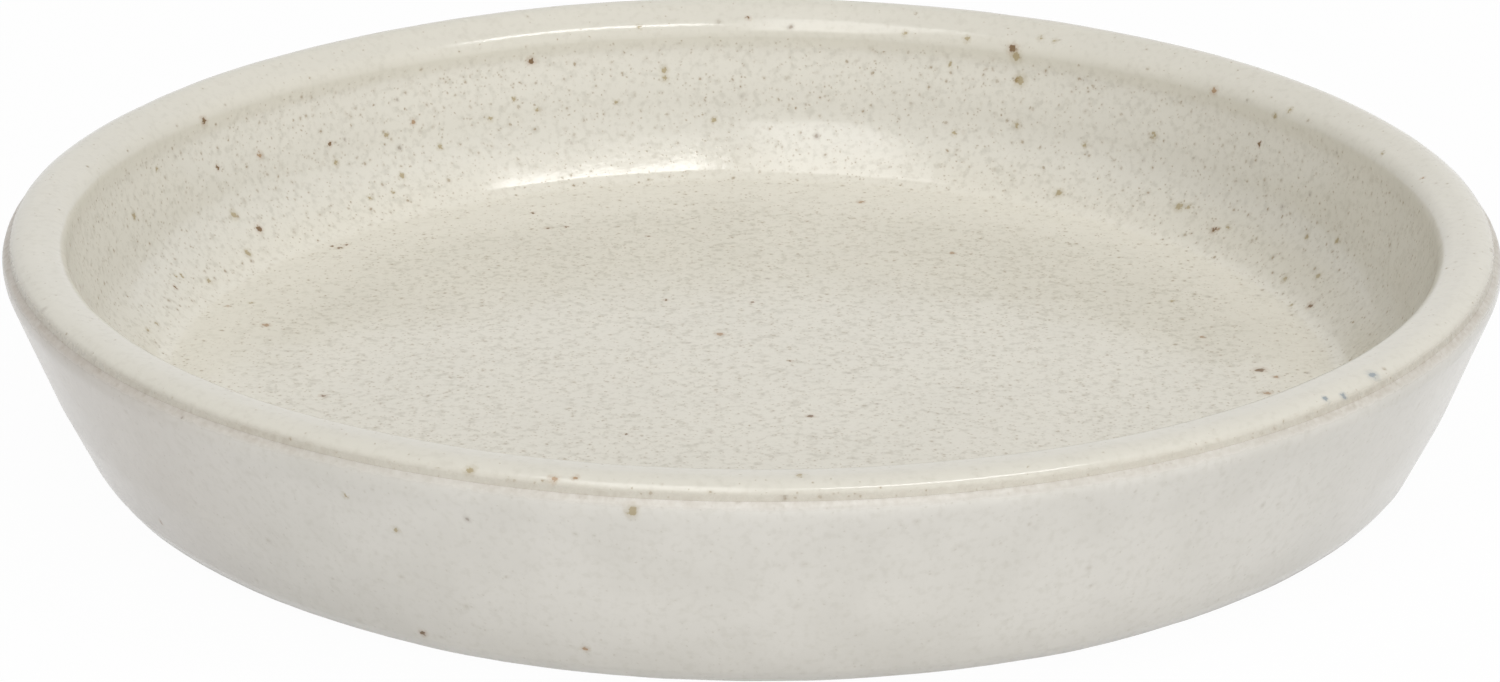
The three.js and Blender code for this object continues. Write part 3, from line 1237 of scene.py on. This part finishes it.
@dataclass
class InsideCoat(GlazeCoat):
    """The coat over the floor, the pooled cove, the inner wall and the rim, up to the break line."""

    NAME = "bowl_glaze_inside"
    COAT = Coat.INSIDE
    CLOSED = False

    pool: float = 0.45 * MM
    pool_reach: float = 17.0 * MM
    pool_shift: float = 7.0 * MM  # its middle lies this far in on the floor

    def stations(self) -> list[Station]:
        """Lays the coat's section.

        Returns:
            The bonded face from the axis to the break line, then the free face back.
        """
        start = self.break_line + self.break_width / 2
        head = self.line.marks["cove_head"]
        cove = self.line.marks["cove_foot"]
        crease = self.line.marks["crease"]
        steps = [start + self.taper * share for share in self.EDGE_STEPS]
        lengths = sorted([start, *self.line.between(start, self.line.end), *steps, self.line.end])
        bonded = lengths[:: self.bonded_every]
        if lengths[-1] not in bonded:
            bonded.append(lengths[-1])
        free = []
        for length in lengths:
            pooled = self.swelling(length - cove - self.pool_shift, self.pool_reach)
            thickness = self.thickness * self.feather(length - start) + self.pool * pooled
            point = self.line.off(length, self.clearance + thickness)
            free.append(
                Station(
                    max(point.x, 0.0),
                    point.y,
                    free=self.feather(length - start),
                    thin=self.thinness(length - start),
                    crease=self.swelling(length - crease, self.crease_reach),
                    pool=pooled,
                    wall=self.eased(length, cove, head),
                    rim=self.eased(length, crease, crease - self.rim_ease),
                )
            )
        return [Station(*self.line.off(length, self.clearance)) for length in bonded[::-1]] + free


@dataclass
class OutsideCoat(GlazeCoat):
    """The coat over the outer wall, from the break line down to a beaded, wandering run line."""

    NAME = "bowl_glaze_outside"
    COAT = Coat.OUTSIDE
    CLOSED = True

    skin: Skin = replace(GlazeCoat.skin, run_wander=0.9 * MM)
    run_height: float = 0.8 * MM  # of the run line on the bevel
    run_reach: float = 3.2 * MM  # how far up the wandering is felt
    bead: float = 0.3 * MM
    bead_reach: float = 1.6 * MM
    foot_taper: float = 0.7 * MM

    def nose(self, inward: float) -> float:
        """Gives the share of the full thickness near the run line, where the coat ends round.

        Args:
            inward: Distance in from the run line.

        Returns:
            The share.
        """
        share = min(max(inward / self.foot_taper, 0.0), 1.0)
        thin = self.edge / self.thickness
        return thin + (1 - thin) * math.sqrt(1 - (1 - share) ** 2)

    def stations(self) -> list[Station]:
        """Lays the coat's section.

        Returns:
            The free face from the run line up to the break line, then the bonded face back.
        """
        start = self.line.marks["foot"] + self.run_height * math.sqrt(2)
        stop = self.break_line - self.break_width / 2
        steps = [start + self.foot_taper * share for share in self.EDGE_STEPS]
        steps += [stop - self.taper * share for share in self.EDGE_STEPS]
        lengths = sorted([start, *self.line.between(start, stop), *steps, stop])
        free = []
        bonded = []
        for length in lengths:
            nose = self.nose(length - start)
            thickness = self.thickness * nose * self.feather(stop - length)
            bead = self.bead * self.swelling(length - start - self.foot_taper, self.bead_reach)
            slide = self.line.along(length) * self.swelling(length - start, self.run_reach)
            point = self.line.off(length, self.clearance + thickness + bead * nose)
            free.append(
                Station(
                    point.x,
                    point.y,
                    free=self.feather(stop - length) * nose,
                    thin=self.thinness(stop - length),
                    wall=1.0,
                    slide=tuple(slide),
                )
            )
            bonded.append(Station(*self.line.off(length, self.clearance), slide=tuple(slide)))
        return free + bonded[:: -self.bonded_every]


@dataclass(frozen=True)
class Softbox:
    """One soft lamp: where it hangs, how large it is and how strong."""

    name: str
    towards: tuple[float, float, float]  # direction from the bowl
    distance: float
    width: float
    length: float
    power: float
    mirrored: bool = False  # whether the glaze shows it, or it only fills in
    turn: float = 0.0  # degrees that it is turned about its own axis

    def build(self) -> None:
        """Hangs the lamp so that it faces the bowl."""
        data = bpy.data.lights.new(self.name, "AREA")
        data.shape = "RECTANGLE"
        data.size = self.width
        data.size_y = self.length
        data.energy = self.power
        lamp = bpy.data.objects.new(self.name, data)
        lamp.visible_glossy = self.mirrored
        away = Vector(self.towards).normalized()
        right = Vector((0.0, 1.0, 0.0)).cross(away).normalized()
        axes = Matrix((right, away.cross(right), away)).transposed().to_4x4()
        turned = Matrix.Rotation(math.radians(self.turn), 4, "Z")
        lamp.matrix_world = Matrix.Translation(away * self.distance) @ axes @ turned
        bpy.context.scene.collection.objects.link(lamp)


@dataclass(frozen=True)
class Studio:
    """The pale floor, the white surround and the soft lamps."""

    floor_radius: float = 6.0
    floor_colour: Colour = (0.80, 0.80, 0.80)
    floor_glow: float = 0.97  # share of plain white that the camera sees on the floor
    surround: float = 0.24
    surround_tint: Colour = (1.0, 0.985, 0.955)
    lamps: tuple[Softbox, ...] = (
        Softbox("key_softbox", (0.25, -0.06, 0.967), 2.0, 0.84, 0.22, 6.2, mirrored=True, turn=34.0),
        Softbox("overhead_strip", (-0.15, -0.27, 0.95), 2.2, 0.66, 1.90, 11.2, mirrored=True),
        Softbox("top_softbox", (0.0, 0.0, 1.0), 2.4, 2.4, 2.4, 1.0),
        Softbox("front_softbox", (-0.15, -1.0, 0.4), 2.4, 3.2, 1.7, 10.9),
        Softbox("front_right_softbox", (0.7, -0.7, 0.4), 2.4, 1.4, 1.0, 6.6),
        Softbox("right_softbox", (0.6, 0.0, 1.0), 2.6, 0.55, 0.55, 11.0),
        Softbox("back_softbox", (0.0, 1.0, 0.35), 2.4, 2.4, 1.0, 6.0),
        Softbox("low_front_softbox", (0.0, -1.0, 0.21), 2.4, 3.6, 0.95, 15.6),
    )

    def build(self) -> None:
        """Makes the floor, the world and the lamps."""
        mesh = bpy.data.meshes.new("studio_floor")
        corners = [(-1, -1), (1, -1), (1, 1), (-1, 1)]
        places = [(x * self.floor_radius, y * self.floor_radius, 0.0) for x, y in corners]
        mesh.from_pydata(places, [], [(0, 1, 2, 3)])
        floor = bpy.data.objects.new("studio_floor", mesh)
        mesh.materials.append(self._floor_material())
        bpy.context.scene.collection.objects.link(floor)
        bpy.context.scene.world = self._world()
        for lamp in self.lamps:
            lamp.build()

    def _floor_material(self) -> bpy.types.Material:
        """Makes a pale floor that looks white to the camera and keeps a soft shadow.

        Returns:
            The material.
        """
        material = bpy.data.materials.new("pale_floor")
        w = fresh_wiring(material)
        pale = w.node("ShaderNodeBsdfDiffuse", {"Color": opaque(self.floor_colour)}).outputs[0]
        white = w.node("ShaderNodeEmission", {"Strength": 1.0}).outputs[0]
        seen = w.times(self._seen(w), self.floor_glow)
        shader = w.node("ShaderNodeMixShader", {0: seen, 1: pale, 2: white})
        w.node("ShaderNodeOutputMaterial", {"Surface": shader.outputs[0]})
        return material

    def _world(self) -> bpy.types.World:
        """Makes the surround: white to look at, dimmer as a light.

        Returns:
            The world.
        """
        world = bpy.data.worlds.new("white_surround")
        w = fresh_wiring(world)
        seen = self._seen(w)
        tint = w.mix(seen, self.surround_tint, (1.0, 1.0, 1.0))
        inputs = {"Color": tint, "Strength": w.between(seen, self.surround, 1.0)}
        light = w.node("ShaderNodeBackground", inputs)
        w.node("ShaderNodeOutputWorld", {"Surface": light.outputs[0]})
        return world

    @staticmethod
    def _seen(w: Wiring) -> Socket:
        """Tells a look from lighting.

        Args:
            w: The wiring of a material or a world.

        Returns:
            1 for a camera, glossy or transmission ray, and 0 for any other.
        """
        path = w.node("ShaderNodeLightPath").outputs
        seen = w.math("MAXIMUM", path["Is Camera Ray"], path["Is Glossy Ray"])
        return w.math("MAXIMUM", seen, path["Is Transmission Ray"])


INSIDE_CREAM = CreamGlaze(
    name="inside_cream_glaze",
    cream=(0.755, 0.725, 0.635),
    cloud=(0.695, 0.668, 0.585),
    cloud_share=0.40,
    mottle=(0.50, 0.465, 0.375),
    mottle_share=0.60,
    speckles=(
        Speckle(0.9 * MM, 0.32 * MM, 0.75, 0.62, 0.10, 0.2, 0.62, 0.12, (0.34, 0.25, 0.14), 1.0),
        Speckle(2.1 * MM, 0.55 * MM, 0.55, 0.72, 0.07, 0.3, 0.70, 0.20, (0.28, 0.19, 0.085), 2.0),
        Speckle(5.5 * MM, 0.75 * MM, 0.14, 0.22, 0.05, 0.6, 0.65, 0.28, (0.17, 0.10, 0.045), 3.0),
    ),
)
OUTSIDE_CREAM = CreamGlaze(
    name="outside_cream_glaze",
    cream=(0.715, 0.694, 0.643),
    cloud=(0.650, 0.630, 0.578),
    cloud_share=0.75,
    mottle=(0.55, 0.525, 0.46),
    mottle_share=0.30,
    drained_and_shade_share=0.0,
    # On the outside it is painted shade, darker and warmer, on the wall's left side, away from the lamps on
    # the right.
    stain_and_shade=(0.56, 0.50, 0.45),
    stain_and_shade_side=-1.0,
    stain_and_shade_share=0.35,
    speckles=(
        Speckle(1.1 * MM, 0.30 * MM, 0.0, 0.45, 0.3, 0.3, 0.30, 0.08, (0.40, 0.35, 0.27), 4.0),
        Speckle(4.0 * MM, 0.70 * MM, 0.0, 0.40, 0.3, 0.4, 0.30, 0.16, (0.33, 0.28, 0.20), 5.0),
        Speckle(7.0 * MM, 0.70 * MM, 0.0, 0.05, 0.1, 0.6, 0.55, 0.20, (0.17, 0.105, 0.06), 6.0),
    ),
    roughness=0.16,
)

# Large specks that the photograph shows, by what they are made of and their radius in millimetres
INSIDE_SPOTS = (
    *specks(Tone.IRON, 0.45, (332, 246), (626, 434)),
    *specks(Tone.IRON, 0.50, (330, 144), (533, 213), (566, 227), (648, 236), (1017, 80), (1259, 144)),
    *specks(Tone.IRON, 0.50, (790, 361), (752, 302)),
    *specks(Tone.IRON, 0.55, (217, 167), (346, 245), (175, 287), (748, 18), (666, 300)),
    *specks(Tone.IRON, 0.60, (547, 228)),
    *specks(Tone.IRON, 0.70, (339, 248), (323, 396)),
    *specks(Tone.IRON, 0.75, (1214, 230)),
    *specks(Tone.IRON, 0.80, (259, 229), (531, 61), (810, 416)),
    *specks(Tone.IRON, 0.85, (204, 121), (1310, 306)),
    *specks(Tone.IRON, 1.00, (1013, 49)),
    *specks(Tone.IRON, 1.15, (1260, 370)),
    *specks(Tone.RUST, 0.55, (227, 306), (1423, 178)),
    *specks(Tone.RUST, 0.60, (413, 122), (952, 253), (1202, 337), (575, 478)),
    *specks(Tone.RUST, 0.70, (1276, 377), (1406, 376), (554, 479)),
    *specks(Tone.RUST, 0.75, (260, 155)),
    *specks(Tone.RUST, 0.80, (861, 202), (1214, 91)),
    *specks(Tone.RUST, 0.85, (266, 325)),
    *specks(Tone.RUST, 0.90, (1267, 393), (720, 334)),
    *specks(Tone.OLIVE, 0.50, (157, 169), (182, 276), (370, 198), (393, 192), (514, 99), (1382, 154)),
    *specks(Tone.OLIVE, 0.55, (176, 276), (616, 102), (950, 64), (1055, 41)),
    *specks(Tone.OLIVE, 0.60, (157, 324), (148, 330), (386, 135), (251, 303), (440, 147), (537, 110)),
    *specks(Tone.OLIVE, 0.60, (490, 119), (714, 120), (639, 27), (905, 33), (1041, 38), (954, 133)),
    *specks(Tone.OLIVE, 0.60, (1275, 116), (1290, 110), (1228, 228), (1291, 305), (1172, 301)),
    *specks(Tone.OLIVE, 0.65, (336, 163), (1085, 145), (1189, 207), (1307, 237)),
    *specks(Tone.OLIVE, 0.70, (209, 281), (665, 78), (967, 39), (1016, 125), (1337, 241), (800, 475)),
    *specks(Tone.OLIVE, 0.75, (134, 216), (402, 176), (1154, 136), (1318, 276)),
    *specks(Tone.OLIVE, 0.80, (248, 253), (664, 70), (1285, 279), (470, 470)),
    *specks(Tone.OLIVE, 0.90, (1059, 193)),
    *specks(Tone.OLIVE, 0.95, (1179, 207)),
    *specks(Tone.OLIVE, 1.00, (234, 215)),
    *specks(Tone.OLIVE, 1.10, (1016, 57)),
    *specks(Tone.OLIVE, 1.20, (1020, 80)),
    *specks(Tone.ASH, 0.60, (1326, 399)),
    *specks(Tone.ASH, 0.70, (1344, 396)),
    *specks(Tone.ASH, 1.00, (1373, 375)),
)
OUTSIDE_SPOTS = (
    *specks(Tone.IRON, 0.55, (161, 522)),
    *specks(Tone.IRON, 0.70, (423, 633)),
    *specks(Tone.RUST, 0.60, (585, 649)),
    *specks(Tone.OLIVE, 0.50, (345, 496)),
    *specks(Tone.OLIVE, 0.60, (396, 530)),
    *specks(Tone.OLIVE, 1.00, (632, 511)),
)


def main() -> None:
    """Builds the bowl, the studio and the camera, and logs each piece's triangle count."""
    logging.basicConfig(level=logging.INFO, format="%(name)s: %(message)s")
    bpy.context.scene.view_settings.view_transform = "Standard"
    camera = PhotoCamera()
    camera.build()
    section = ClaySection()
    line = section.line()
    turning = Turning(KilnWarp(), section.height, section.rim_radius)
    pieces = (
        StonewareBody(line).build(turning),
        InsideCoat(line, INSIDE_CREAM, INSIDE_SPOTS).build(turning, camera),
        OutsideCoat(line, OUTSIDE_CREAM, OUTSIDE_SPOTS).build(turning, camera),
    )
    for piece in pieces:
        triangles = sum(len(p.vertices) - 2 for p in piece.data.polygons)
        LOG.info("%s: %d triangles", piece.name, triangles)
    Studio().build()


if __name__ == "__main__":
    main()
